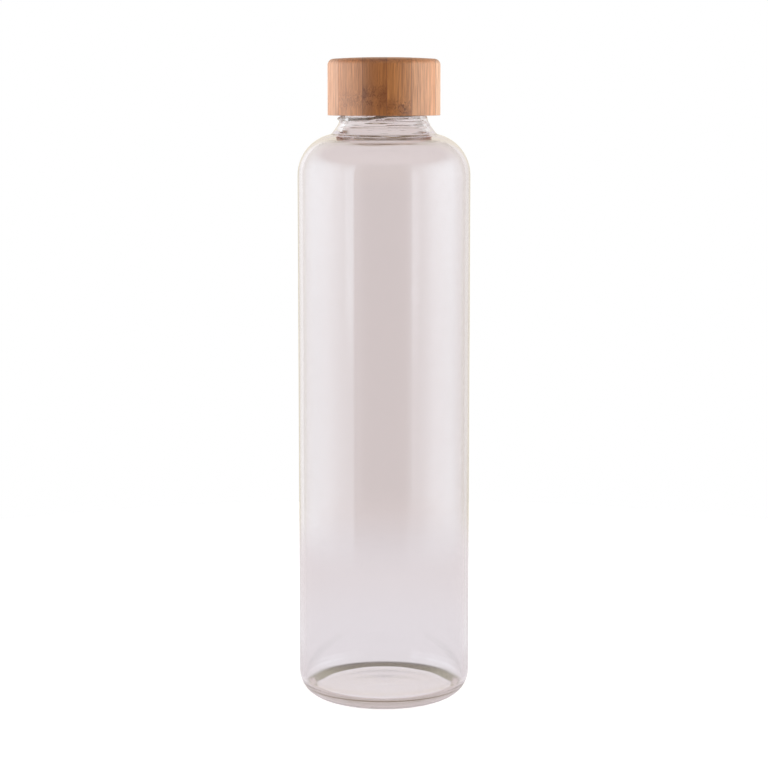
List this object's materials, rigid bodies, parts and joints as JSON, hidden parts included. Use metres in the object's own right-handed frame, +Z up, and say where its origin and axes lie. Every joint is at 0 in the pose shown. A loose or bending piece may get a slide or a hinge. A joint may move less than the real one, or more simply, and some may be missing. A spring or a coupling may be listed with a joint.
{
  "type": "glass water bottle",
  "caption": "Straight-walled clear glass water bottle with a rounded shoulder, a threaded neck, and a bamboo screw cap with a plastic liner and a silicone seal.",
  "frame": {"origin": "centre of the base, on the surface that the bottle stands on", "axes": "+Z up along the bottle's axis, towards the cap; -Y is the front; +X is to the right as seen from the front"},
  "size_m": [0.08, 0.08, 0.3],
  "materials": {
    "glass": "clear, polished",
    "bamboo": "turned, sanded and oiled, satin",
    "liner": "natural white moulded plastic",
    "seal": "translucent white silicone"
  },
  "bodies": {
    "bottle": {"glass_bottle": "glass"},
    "seal": {"seal_ring": "seal"},
    "cap": {"cap_liner": "liner", "bamboo_strip_1": "bamboo", "bamboo_strip_2": "bamboo", "bamboo_strip_3": "bamboo", "bamboo_strip_4": "bamboo", "bamboo_strip_5": "bamboo", "bamboo_strip_6": "bamboo"}
  },
  "joints": [
    {"name": "cap_lift", "type": "slide", "parent": "bottle", "child": "seal", "axis": [0, 0, 1], "range_m": [0, 0.0242]},
    {"name": "cap_turn", "type": "hinge", "parent": "seal", "child": "cap", "pos_m": [0, 0, 0.28], "axis": [0, 0, 1], "range_deg": [0, 1440]}
  ],
  "couplings": [
    {"joint": "cap_lift", "follows": "cap_turn", "m_per_rad": 0.00095493}
  ]
}
